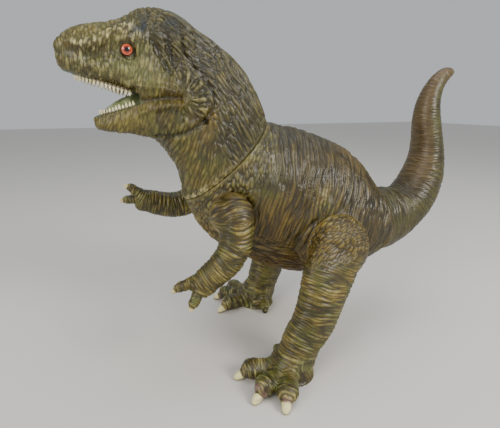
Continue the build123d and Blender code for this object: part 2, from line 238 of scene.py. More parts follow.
def largest_shell(mesh):
    """Takes away every shell but the one that reaches furthest."""
    pairs = edges_of(mesh)
    label = np.arange(len(mesh.vertices))
    while True:
        low = np.minimum(label[pairs[:, 0]], label[pairs[:, 1]])
        new = label.copy()
        np.minimum.at(new, pairs[:, 0], low)
        np.minimum.at(new, pairs[:, 1], low)
        new = new[new]
        if (new == label).all():
            break
        label = new
    points = points_of(mesh)
    names, index = np.unique(label, return_inverse=True)
    if len(names) == 1:
        return
    reach = [np.ptp(points[index == n], axis=0).prod() for n in range(len(names))]
    gone = index != int(np.argmax(reach))
    shell = bmesh.new()
    shell.from_mesh(mesh)
    shell.verts.ensure_lookup_table()
    bmesh.ops.delete(shell, geom=[shell.verts[n] for n in np.flatnonzero(gone)], context="VERTS")
    shell.to_mesh(mesh)
    shell.free()


def relaxed(points, pairs, rounds, amount=0.5, where=1.0):
    """Evens a surface out, as wax smooths under a warm tool."""
    count = len(points)
    near = np.bincount(pairs.ravel(), minlength=count)
    weight = np.broadcast_to(where, (count,))[:, None] * amount
    for _ in range(rounds):
        total = columns(
            *(
                np.bincount(pairs[:, 0], points[pairs[:, 1], n], count)
                + np.bincount(pairs[:, 1], points[pairs[:, 0], n], count)
                for n in range(3)
            )
        )
        points = points + weight * (total / np.maximum(near, 1)[:, None] - points)
    return points


def add_wax(lump, start, end, first, last, steps=7):
    """A tapering sausage of wax from one point to another, pressed on before the skin is drawn."""
    for n in range(steps):
        t = n / max(steps - 1, 1)
        at = Vector(start).lerp(Vector(end), t)
        size = first + (last - first) * t
        place = Matrix.Translation(at * MM) @ Matrix.Diagonal((size * MM, size * MM, size * MM, 1))
        bmesh.ops.create_icosphere(lump, subdivisions=3, radius=1, matrix=place)


def add_drop(lump, centre, way, half_length, half_width):
    """An egg of wax that points one way, for a nail or a claw."""
    turned = Vector(way).to_track_quat("Z", "Y").to_matrix().to_4x4()
    size = Matrix.Diagonal((half_width * MM, half_width * MM, half_length * MM, 1))
    place = Matrix.Translation(Vector(centre) * MM) @ turned @ size
    bmesh.ops.create_icosphere(lump, subdivisions=4, radius=1, matrix=place)


def poured(lump, name):
    """A mesh with what the bmesh holds."""
    mesh = bpy.data.meshes.new(name)
    lump.to_mesh(mesh)
    lump.free()
    return mesh


def put(name, data):
    """A new object in the scene."""
    made = bpy.data.objects.new(name, data)
    bpy.context.scene.collection.objects.link(made)
    return made


def settle(piece):
    """Makes a piece's modifiers part of its mesh, which keeps its name."""
    bpy.context.view_layer.update()
    fine = bpy.data.meshes.new_from_object(piece.evaluated_get(bpy.context.evaluated_depsgraph_get()))
    old, name = piece.data, piece.data.name
    piece.modifiers.clear()
    piece.vertex_groups.clear()
    piece.data = fine
    bpy.data.meshes.remove(old)
    fine.name = name


def buried(mesh):
    """1 at the points that no light from outside reaches, by three short looks outwards."""
    tree = BVHTree.FromPolygons([v.co[:] for v in mesh.vertices], [p.vertices[:] for p in mesh.polygons])
    hidden = np.zeros(len(mesh.vertices), bool)
    for n, vert in enumerate(mesh.vertices):
        start = vert.co + vert.normal * LIFT * MM
        side = vert.normal.orthogonal().normalized()
        ways = (vert.normal, (vert.normal + side).normalized(), (vert.normal - side).normalized())
        hidden[n] = all(tree.ray_cast(start, way, LOOK)[0] is not None for way in ways)
    return hidden


def lighten(piece):
    """Thins the mesh where it lies buried inside, so that the detail is spent on what shows."""
    hidden = buried(piece.data)
    if hidden.mean() < FEW_HIDDEN:
        return
    group = piece.vertex_groups.new(name="inside")
    group.add([int(n) for n in np.flatnonzero(hidden)], 1.0, "REPLACE")
    thin = piece.modifiers.new("Decimate", "DECIMATE")
    thin.vertex_group = "inside"
    thin.vertex_group_factor = 1000.0
    thin.ratio = 1 - INSIDE_CUT * float(hidden.mean())
    settle(piece)


def moulding(name, body, skin, inner, spacing, wax=()):
    """A fine closed skin over a body's CAD solids, which it stands for."""
    lump = bmesh.new()
    for add, *shape in wax:
        add(lump, *shape)
    for node, swell in [(skin, 0.0)] + [(n, FILLING_SWELL if n.endswith("filling") else 0.0) for n in inner]:
        part = bmesh.new()
        part.from_mesh(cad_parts[node].data)
        bmesh.ops.remove_doubles(part, verts=part.verts, dist=WELD * MM)
        part.normal_update()
        for vert in part.verts:
            vert.co += vert.normal * swell * MM
        copy = poured(part, name + "_part")
        lump.from_mesh(copy)
        bpy.data.meshes.remove(copy)
    piece = put(name, poured(lump, name))
    remesh = piece.modifiers.new("Remesh", "REMESH")
    remesh.mode = "VOXEL"
    remesh.voxel_size = spacing * MM
    settle(piece)
    largest_shell(piece.data)
    lighten(piece)
    piece.data.shade_smooth()
    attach(piece, body)
    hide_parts(skin, *inner)
    return piece


def slim(piece):
    """Collapses the flattest edges of a finished moulding until it is light enough to share."""
    piece.data.calc_loop_triangles()
    share = MOST_TRIANGLES / len(piece.data.loop_triangles)
    if share >= 1:
        return
    thin = piece.modifiers.new("Decimate", "DECIMATE")
    thin.ratio = share
    settle(piece)


def mark(mesh, **masks):
    """Keeps where each paint goes as a number at each vertex."""
    for name, values in masks.items():
        layer = mesh.attributes.new(name, "FLOAT", "POINT")
        layer.data.foreach_set("value", np.clip(values, 0, 1).astype(np.float32))


# ---- paint and varnish ---------------------------------------------------------------------------
def ink(hex_colour, alpha=1.0):
    """An sRGB hex colour as linear light."""
    value = []
    for n in (0, 2, 4):
        c = int(hex_colour[n : n + 2], 16) / 255
        value.append(c / 12.92 if c <= 0.04045 else ((c + 0.055) / 1.055) ** 2.4)
    return (*value, alpha)


def node(tree, kind, links=(), **settings):
    """Adds a node. links are (input, socket), and a setting named in_X fills the input X."""
    made = tree.nodes.new("ShaderNode" + kind)
    for key, value in settings.items():
        if key.startswith("in_"):
            socket = key[3:]
            made.inputs[int(socket) if socket.isdigit() else socket.replace("_", " ")].default_value = value
        else:
            setattr(made, key, value)
    for socket, source in links:
        tree.links.new(source, made.inputs[socket])
    return made


def new_material(name, **looks):
    """A material, its node tree and its shader, with the shader's inputs set."""
    material = bpy.data.materials.new(name)
    material.use_nodes = True
    shader = material.node_tree.nodes["Principled BSDF"]
    for socket, value in looks.items():
        shader.inputs[socket.replace("_", " ")].default_value = value
    return material, material.node_tree, shader


def layer_over(tree, base, colour, amount):
    """Paint over paint: amount is how much of the new coat covers."""
    mix = node(tree, "Mix", data_type="RGBA", in_7=ink(colour), links=[(0, amount), (6, base)])
    return mix.outputs[2]


def two_tone(tree, first, second, share):
    """One colour turning into another by a share."""
    mix = node(tree, "Mix", data_type="RGBA", in_6=ink(first), in_7=ink(second), links=[(0, share)])
    return mix.outputs[2]


def masked(tree, name, speckle=None, gain=1.0):
    """A painted zone, broken up by a speckle."""
    zone = node(tree, "Attribute", attribute_name=name).outputs["Fac"]
    if speckle is not None:
        zone = node(tree, "Math", operation="MULTIPLY", links=[(0, zone), (1, speckle)]).outputs[0]
    return node(tree, "Math", operation="MULTIPLY", use_clamp=True, in_1=gain, links=[(0, zone)]).outputs[0]


def speckled(tree, coords, size_mm, low, high, detail):
    """Specks about that size: 0 below low, 1 above high."""
    noise = node(
        tree, "TexNoise", in_Scale=1 / (size_mm * 2 * MM), in_Detail=detail, links=[("Vector", coords)]
    )
    ramp = node(tree, "MapRange", links=[("Value", noise.outputs[0])], in_From_Min=low, in_From_Max=high)
    return ramp.outputs[0]


def painted_vinyl(name, dark, mid, crack, crest, grain_way):
    """Soft PVC, rotation moulded, sprayed and dry-brushed by hand, under a satin clear coat.

    Folds: a dark wash with painted shade. Crests: pale dry-brushing with painted highlights. The coat gives
    small sharp glints.
    """
    material, tree, shader = new_material(name, IOR=1.48, Coat_Weight=0.12, Coat_Roughness=0.25)
    coords = node(tree, "TexCoord").outputs["Object"]
    blotch = speckled(tree, coords, 11, 0.36, 0.64, 3.0)
    patch = speckled(tree, coords, 5, 0.42, 0.6, 4.0)
    brush_and_glint = speckled(tree, coords, 2.2, 0.40, 0.62, 3.0)
    pressed = node(tree, "Mapping", in_Scale=grain_way, links=[("Vector", coords)]).outputs[0]
    wrinkle = node(
        tree, "TexNoise", in_Scale=1.0, in_Detail=3.0, in_Distortion=0.6, links=[("Vector", pressed)]
    ).outputs[0]
    shade = node(tree, "MapRange", links=[("Value", wrinkle)], in_From_Min=0.42, in_From_Max=0.56).outputs[0]
    colour = two_tone(tree, dark, mid, blotch)
    for zone, tint, speckle, gain in (
        ("ochre", "8a6a22", patch, 1.15),
        ("ochre", "6f6a26", None, 0.45),
        ("russet", "67490f", None, 0.7),
        ("slate", "3b3a26", None, 0.6),
        ("green", "5f6a28", patch, 0.8),
        ("pink", "7d6444", None, 0.6),
        ("plum", "564530", patch, 0.8),
        ("sage", "7b8152", None, 0.5),
    ):
        colour = layer_over(tree, colour, tint, masked(tree, zone, speckle, gain=gain))
    # Pale crests and flecks: dry-brushing with painted highlights.
    colour = layer_over(tree, colour, crest, masked(tree, "crest", brush_and_glint))
    colour = layer_over(tree, colour, "c9c088", masked(tree, "fleck", brush_and_glint, gain=0.95))
    # Painted shade with a dark wash: the fold colour laid into the low places of the fine wrinkles that the
    # bump below draws.
    thin = node(tree, "Math", operation="MULTIPLY_ADD", in_1=-0.24, in_2=0.24, links=[(0, shade)]).outputs[0]
    colour = layer_over(tree, colour, crack, thin)
    # Painted shade with a dark wash in the moulded folds.
    colour = layer_over(tree, colour, crack, masked(tree, "fold", gain=0.92))
    colour = layer_over(tree, colour, "1d2428", masked(tree, "night", patch, gain=1.3))
    colour = layer_over(tree, colour, "4d5438", masked(tree, "mouth"))
    colour = layer_over(tree, colour, "ddd69c", masked(tree, "claw"))
    colour = layer_over(tree, colour, "7c5a58", masked(tree, "smudge", patch, gain=0.9))
    tree.links.new(colour, shader.inputs["Base Color"])
    sheen = node(tree, "MapRange", links=[("Value", blotch)], in_To_Min=0.38, in_To_Max=0.5).outputs[0]
    tree.links.new(sheen, shader.inputs["Roughness"])
    bump = node(tree, "Bump", in_Strength=0.6, in_Distance=0.45 * MM, links=[("Height", wrinkle)])
    tree.links.new(bump.outputs[0], shader.inputs["Normal"])
    return material


def no_paint(points):
    """Every painted zone, with nothing in it yet."""
    zones = "ochre russet slate green pink plum sage crest fleck fold night mouth claw smudge"
    return {zone: np.zeros(len(points)) for zone in zones.split()}


# ---- head and neck -------------------------------------------------------------------------------
HEAD_CREASES = {
    "first cheek": [(123, 28, 270), (120, 28, 263), (117, 30, 256), (113, 31, 249)],
    "second cheek": [(113, 29, 274), (112, 29, 263), (110, 31, 253)],
    "lips": [(136, 24, 229), (126, 27, 231), (117, 31, 232), (107, 34, 232)],
    "throat": [(124, 21, 205), (114, 22, 204), (104, 30, 207), (97, 34, 211), (90, 37, 216)],
    "nape": [(90, 37, 216), (82, 38, 228), (85, 37, 240), (94, 33, 252), (102, 31, 262), (104, 29, 280)],
}
BROW = [
    (176, 16, 268), (167, 20, 266), (160, 21, 268), (152, 22, 272), (145, 22, 277), (139, 24, 277),
    (132, 27, 271),
]
CHEEK_HOLLOW = [(166, 21, 259), (150, 23, 263)]
EYE = np.array([140.5, 25.0, 263.8])
JAW_BULGE = (93.0, 36.0, 231.0)
HINGE = 134.0  # where both planes of the mouth are measured from, along x
MOUTH_MIDDLE = 231.5
HALF_GAPE = 3.5
PALATE_SLOPE = 18
JAW_SLOPE = 16
NECK_SEAT = np.array([65.0, 0.0, 182.5])
NECK_WAY = np.array([0.67, 0.0, 0.742])
TAIL_SEAT = np.array([-99.0, 0.0, 111.0])
TAIL_WAY = np.array([0.9956, 0.0, -0.0933])
SHOULDER = np.array([72.0, 38.0, 144.0])
HIP = np.array([-22.0, 49.0, 107.0])

SNOUT_LINE = [(190, 0, 262), (150, 0, 256), (112, 0, 248)]
NECK_LINE = [(126, 0, 266), (104, 0, 250), (86, 0, 224), (65, 0, 182)]
TRUNK_LINE = [(-99, 0, 111), (-60, 0, 126), (-20, 0, 142), (25, 0, 156), (75, 0, 170)]


def shape_head():
    """Brow, eye sockets, lips and jaw corner first, then the folds, then where each paint goes."""
    lids = [(add_wax, (139.0, s * 21.9, 261.0), (140.0, s * 21.9, 262.5), 3.2, 3.2, 2) for s in (-1, 1)]
    inner = ["head_filling", "neck_plug"]
    piece = moulding("vinyl_head", "head", "head_neck_skin", inner, spacing=0.74, wax=lids)
    mesh, pairs, points = surface_of(piece)
    above = (points - NECK_SEAT) @ NECK_WAY
    free = soft(above, 0.5, 4.0)
    even = folded(points)
    inside = soft(19 - np.abs(points[:, 1]), 0, 2)
    inside = inside * soft(points[:, 0], 98, 102) * soft(138 - points[:, 0], 0, 4)
    inside = inside * soft(points[:, 2], 224, 227) * soft(241 - points[:, 2], 0, 3)
    joins = soft(points[:, 0], 84, 94) * free
    points = relaxed(points, pairs, 26, 0.6, joins * (1 - inside) * soft(126 - points[:, 0], 0, 10))
    points = relaxed(points, pairs, 5, 0.5, free)
    normals = place_points(mesh, points)
    move = np.zeros(len(points))
    outer = free * (1 - inside)
    move += 3.0 * welt(even, BROW, 4.0)
    move -= 2.3 * welt(even, CHEEK_HOLLOW, 4.0)
    ring = np.linalg.norm(even - EYE, axis=1)
    move += 1.1 * bell(ring, 7.4, 1.7) - 1.5 * bell(ring, 0, 4.6)
    move += 2.4 * welt(even, [(141, 21, 241), (130, 27, 240), (120, 30, 239), (110, 33, 237)], 2.6)
    move += 2.6 * welt(even, [(134, 24, 221), (124, 26, 225), (114, 31, 227), (106, 33, 226)], 2.8)
    move += 2.4 * mound(even, JAW_BULGE, 12)
    for name, line in HEAD_CREASES.items():
        deep = {"lips": 1.6, "throat": 1.6, "nape": 1.8}.get(name, 2.0)
        move += 0.9 * welt(even, line, 5.5) - (deep + 0.9) * welt(even, line, 2.3)
    around = np.linalg.norm((even - np.array([106, 34, 233]))[:, [0, 2]], axis=1)
    beside = soft(even[:, 1], 20, 26)
    move += beside * (1.2 * bell(around, 5.5, 1.6) - 1.2 * bell(around, 0, 2.6))
    move += 1.0 * welt(even, [(178, 13, 256), (165, 18, 250), (150, 22, 244), (141, 23, 240)], 3.0)
    move += 0.8 * welt(even, [(164, 12, 213), (150, 18, 216), (138, 22, 219)], 3.0)
    nostril = np.linalg.norm(even - np.array([184.5, 8.5, 268]), axis=1)
    move += 0.9 * bell(nostril, 3.2, 1.3) - 1.6 * bell(nostril, 0, 1.9)
    move += 1.3 * soft(5.5 - above, 0, 2.5) * soft(even[:, 0], 62, 84)
    move += 1.2 * mound(even, (128, 17, 290), 9) + 0.8 * mound(even, (108, 19, 288), 8)
    points = points + normals * (move * outer)[:, None]
    normals = place_points(mesh, points)

    # Fold patterns: short rings round muzzle and cheek, long folds down the neck, shorter ones on the
    # throat, and spokes round the jaw's corner.
    neck = soft(100 - even[:, 0] + 0.55 * (even[:, 2] - 230), -8, 8)
    throat = neck * soft(even[:, 0] - 0.9 * (215 - even[:, 2]), 66, 92) * soft(232 - even[:, 2], 0, 16)
    bulge_gap = (even - np.array([105.0, 34, 232]))[:, [0, 2]]
    bulge_far = np.linalg.norm(bulge_gap, axis=1)
    bulge = soft(21 - bulge_far, 0, 5) * soft(bulge_far, 4.5, 7.5) * soft(6 - bulge_gap[:, 0], 0, 6) * beside
    turn = np.arctan2(bulge_gap[:, 1], -bulge_gap[:, 0])
    fan = columns(turn * 3.9 + 0.35 * drift(even, 8, 3), bulge_far / 13, even[:, 1] / 30)
    spoke = cracks(fan, 37, WIDE_FOLD)
    muzzle = rings(points, SNOUT_LINE, 2.2, 10, 11, THIN_FOLD)
    cheek = rings(points, SNOUT_LINE, 2.5, 18, 17, THIN_FOLD)
    side = lengthways(points, NECK_LINE, 2.7, 32, 23, THIN_FOLD)
    pebble = lengthways(points, NECK_LINE, 2.9, 12, 29, THIN_FOLD)
    back_of_eye = soft(132 - even[:, 0], 0, 10) * (1 - neck)
    crack, crown = blend_folds(
        [
            (muzzle, (1 - neck) * (1 - back_of_eye) * (1 - bulge)),
            (cheek, back_of_eye * (1 - bulge)),
            (side, neck * (1 - throat) * (1 - bulge)),
            (pebble, throat * (1 - bulge)),
            (spoke, bulge),
        ]
    )
    depth = 0.75 + 0.75 * neck + 0.25 * throat + 0.8 * bulge + 0.35 * back_of_eye
    calm = 1 - 0.75 * soft(even[:, 0], 150, 172) * soft(even[:, 2], 268, 280)
    bare = outer * (1 - np.exp(-((ring / 5.2) ** 4)))
    relief = (0.4 * crown - 1.0 * crack) * depth * calm + 0.5 * drift(points, 6, 41) * (0.4 + 0.6 * neck)
    points = points + normals * (relief * bare)[:, None]
    place_points(mesh, points)

    paint = no_paint(points)
    fine = soft(drift(points, 9, 51), -0.5, 0.6)
    # The fold zone: a dark wash with painted shade in the cracks and creases.
    creased = sum(welt(even, line, 1.9) for line in HEAD_CREASES.values())
    paint["fold"] = np.maximum(crack * (0.55 + 0.4 * neck), creased * 0.85) * bare
    # Pale crests: dry-brushing with painted highlights.
    paint["crest"] = (1 - crack) ** 2 * (0.14 + 0.16 * fine)
    # Painted shade in the socket round the eye.
    paint["fold"] += 0.7 * bell(ring, 5.0, 0.9) * (1 - bulge)
    # Painted highlights on the cheeks, brow, jaw corner and throat, laid as pale flecks on the crests.
    cheek_highlight = mound(even, (155, 22, 256), 15) + mound(even, (172, 17, 262), 14)
    cheek_highlight = cheek_highlight + 0.9 * mound(even, (130, 28, 252), 12)
    pale = 0.85 * welt(even, BROW, 4.5) + 0.30 * cheek_highlight + 0.35 * bulge + 0.12 * throat * fine
    paint["fleck"] = (1 - crack) ** 2 * np.clip(pale + 0.05 * (1 - neck), 0, 1)
    paint["sage"] = np.clip(mound(even, (131, 27, 252), 10) + 0.8 * mound(even, (142, 24, 252), 8), 0, 1)
    dark_spots = (
        (0.9, (131, 26, 279), 7),
        (0.5, (108, 26, 282), 9),
        (0.6, (112, 31, 222), 8),
        (0.35, (180, 14, 262), 8),
        (0.45, (92, 36, 198), 10),
    )
    paint["night"] = np.clip(sum(share * mound(even, at, size) for share, at, size in dark_spots), 0, 1)
    # A painted highlight along the collar lip, in the same pale.
    collar = soft(5.5 - above, 0, 2.5) * soft(even[:, 0], 62, 84)
    paint["fleck"] = np.maximum(paint["fleck"], 0.75 * collar)
    paint["slate"] = neck * (1 - throat) * soft(1.1 * even[:, 2] - even[:, 0], 95, 160)
    # Painted shadow in the hollow in front of the eye.
    paint["slate"] += 0.9 * welt(even, [(165, 21, 259), (150, 23, 263)], 4.5)
    paint["ochre"] = throat * 0.95 + 0.5 * mound(even, (150, 20, 212), 14)
    paint["green"] = throat * soft(drift(points, 12, 61), 0, 0.6) + 0.4 * (1 - neck)
    paint["russet"] = 0.5 * mound(even, (95, 36, 208), 10) + 0.35 * welt(even, HEAD_CREASES["lips"], 6)
    lining = soft(points[:, 0], 97, 103) * soft(23.5 - np.abs(points[:, 1]), 0, 1.6)
    palate, floor = math.radians(PALATE_SLOPE), math.radians(JAW_SLOPE)
    along, up = points[:, 0] - HINGE, points[:, 2] - MOUTH_MIDDLE
    upper = (up - HALF_GAPE) * math.cos(palate) - along * math.sin(palate)
    lower = (up + HALF_GAPE) * math.cos(floor) + along * math.sin(floor)
    gape = np.clip(soft(0.9 - upper, 0, 0.7) * soft(lower + 0.9, 0, 0.7), 0, 1)
    paint["mouth"] = lining * gape * free
    mark(mesh, **paint)
    return piece


# ---- torso ---------------------------------------------------------------------------------------
def shape_torso():
    """Evened out round shoulders and hips, but kept as the CAD has it in the four limbs' seats."""
    piece = moulding("vinyl_torso", "torso", "torso_skin", ["torso_filling"], spacing=0.78)
    mesh, pairs, points = surface_of(piece)
    above = (points - NECK_SEAT) @ NECK_WAY
    tail_gap = (points - TAIL_SEAT) @ TAIL_WAY
    even = folded(points)
    shoulder = np.linalg.norm((even - SHOULDER)[:, [0, 2]], axis=1)
    hip = np.linalg.norm((even - HIP)[:, [0, 2]], axis=1)
    side_on = soft(even[:, 1], 16, 24)
    shoulder_seat = side_on * soft(17.2 - shoulder, 0, 1.5) * soft(even[:, 1], 30, 34)
    hip_seat = side_on * soft(29.7 - hip, 0, 1.5) * soft(even[:, 1], 36, 42)
    free = soft(-above, 0.6, 4) * soft(tail_gap, 0.6, 4) * (1 - shoulder_seat) * (1 - hip_seat)
    boss = free * (soft(27 - shoulder, 0, 8) + soft(42 - hip, 0, 10)) * side_on
    points = relaxed(points, pairs, 140, 0.6, np.clip(boss, 0, 1) * 0.9)
    points = relaxed(points, pairs, 4, 0.5, free)
    normals = place_points(mesh, points)
    skin = free * soft((normals * (points - np.array([-5.0, 0, 140]))).sum(1), 0, 8)
    move = 1.2 * welt(even, [(14, 46, 124), (-3, 47, 138), (-31, 44, 152)], 5.0)
    move -= 1.6 * welt(even, [(14, 46, 119), (0, 47, 132)], 2.5)
    move += 1.0 * welt(even, [(40, 40, 165), (55, 40, 150), (50, 40, 128)], 9)
    move += 0.9 * mound(even, (-60, 40, 130), 18)
    points = points + normals * (move * skin)[:, None]
    normals = place_points(mesh, points)

    low = soft(118 - even[:, 2] + 0.42 * (even[:, 0] - 20), -4, 22) * soft(even[:, 0], -75, -35)
    chest = soft(even[:, 0] + 0.5 * (even[:, 2] - 150), 44, 72)
    top = soft(even[:, 2] + 0.38 * even[:, 0], 165, 195)
    rump = soft(-even[:, 0], 62, 84)
    flank = rings(points, TRUNK_LINE, 2.7, 34, 101, THIN_FOLD)
    spine = rings(points, TRUNK_LINE, 2.9, 46, 107, THIN_FOLD)
    belly = lengthways(points, TRUNK_LINE, 3.3, 30, 113, BELLY_FOLD)
    net = rings(points, TRUNK_LINE, 2.8, 7.5, 119, BELLY_FOLD)
    stern = rings(points, TRUNK_LINE, 2.6, 20, 127, THIN_FOLD)
    body = (1 - low) * (1 - chest)
    crack, crown = blend_folds(
        [
            (flank, body * (1 - top) * (1 - rump)),
            (spine, body * top),
            (belly, low),
            (net, chest * (1 - low)),
            (stern, body * rump * (1 - top)),
        ]
    )
    depth = 1.25 + 0.35 * low + 0.15 * chest
    relief = (0.4 * crown - 1.0 * crack) * depth + 0.7 * drift(points, 8, 131)
    points = points + normals * (relief * skin)[:, None]
    place_points(mesh, points)

    paint = no_paint(points)
    # The fold zone: a dark wash with painted shade in the cracks.
    paint["fold"] = crack * skin
    patchy = soft(drift(points, 12, 137), -0.2, 0.7)
    # Pale crests and flecks: dry-brushing with painted highlights, and a painted glint on the flank.
    paint["crest"] = (1 - crack) ** 2 * (0.10 + 0.16 * patchy) * (0.55 + 0.45 * (1 - low))
    paint["fleck"] = (1 - crack) ** 2 * (0.12 * chest + 0.10 * low + 0.35 * mound(even, (-10, 46, 150), 10))
    paint["slate"] = np.clip(0.85 * top + 0.35 * rump, 0, 1)
    underside = low * soft(112 - even[:, 2], 0, 18)
    paint["russet"] = np.clip(underside + 0.5 * mound(even, (35, 45, 125), 20), 0, 1)
    paint["ochre"] = chest * 0.95 + 0.35 * low
    mossy = 0.7 * mound(even, (45, 42, 165), 16) + 0.6 * mound(even, (-12, 46, 145), 14)
    paint["green"] = np.clip(mossy + 0.5 * chest * soft(drift(points, 10, 139), 0, 0.5), 0, 1)
    mark(mesh, **paint)
    return piece


# ---- tail ----------------------------------------------------------------------------------------
TAIL_LINE = [
    (-99, 0, 111), (-116, 0, 113), (-133, 0, 118), (-148, 0, 130), (-158.5, 0, 147), (-163, 0, 168),
    (-162, 0, 190), (-158, 0, 212), (-157, 0, 231), (-161.5, 0, 244), (-171, 0, 254),
    (-184, 0, 262),
]


def shape_tail():
    piece = moulding("vinyl_tail", "tail", "tail_skin", ["tail_filling", "tail_plug"], spacing=0.66)
    mesh, pairs, points = surface_of(piece)
    gap = -((points - TAIL_SEAT) @ TAIL_WAY)
    free = soft(gap, 0.6, 4)
    points = relaxed(points, pairs, 8, 0.5, free)
    normals = place_points(mesh, points)
    _, gone, _, _ = run(points, TAIL_LINE)
    thin = soft(gone, 60, 190)
    wide = rings(points, TAIL_LINE, 2.2, 26, 201)
    close = rings(points, TAIL_LINE, 1.8, 24, 207)
    crack, crown = blend_folds([(wide, 1 - thin), (close, thin)])
    relief = (0.4 * crown - 0.75 * crack) * (0.85 - 0.45 * thin) + 0.35 * drift(points, 7, 211) * (1 - thin)
    points = points + normals * (relief * free)[:, None]
    place_points(mesh, points)
    paint = no_paint(points)
    inner_side = soft(normals[:, 0] * 0.9 + normals[:, 2] * 0.5, 0.1, 0.75)
    # The fold zone: a dark wash with painted shade in the cracks.
    paint["fold"] = crack * free * (0.75 - 0.25 * thin)
    # Pale crests: dry-brushing with painted highlights.
    paint["crest"] = (1 - crack) ** 2 * 0.28
    paint["pink"] = inner_side * soft(gone, 40, 90) * 0.8 + 0.8 * soft(gone, 168, 196)
    paint["slate"] = 0.7 * soft(60 - gone, 0, 50) * soft(points[:, 2], 100, 135)
    paint["green"] = 0.35 * (1 - inner_side)
    mark(mesh, **paint)
    return piece


# ---- limbs ---------------------------------------------------------------------------------------
STRIDE = 18.0  # how far the right foot stands behind the left
TOES = ((-10.0, 37.0), (28.0, 38.0), (58.0, 36.0))  # heading in degrees, length
ARM_LIFT = 57  # how far the right arm is swung forward, in degrees


def flip(point, sign):
    """The same place on the left or the right side."""
    return (float(point[0]), sign * float(point[1]), float(point[2]))


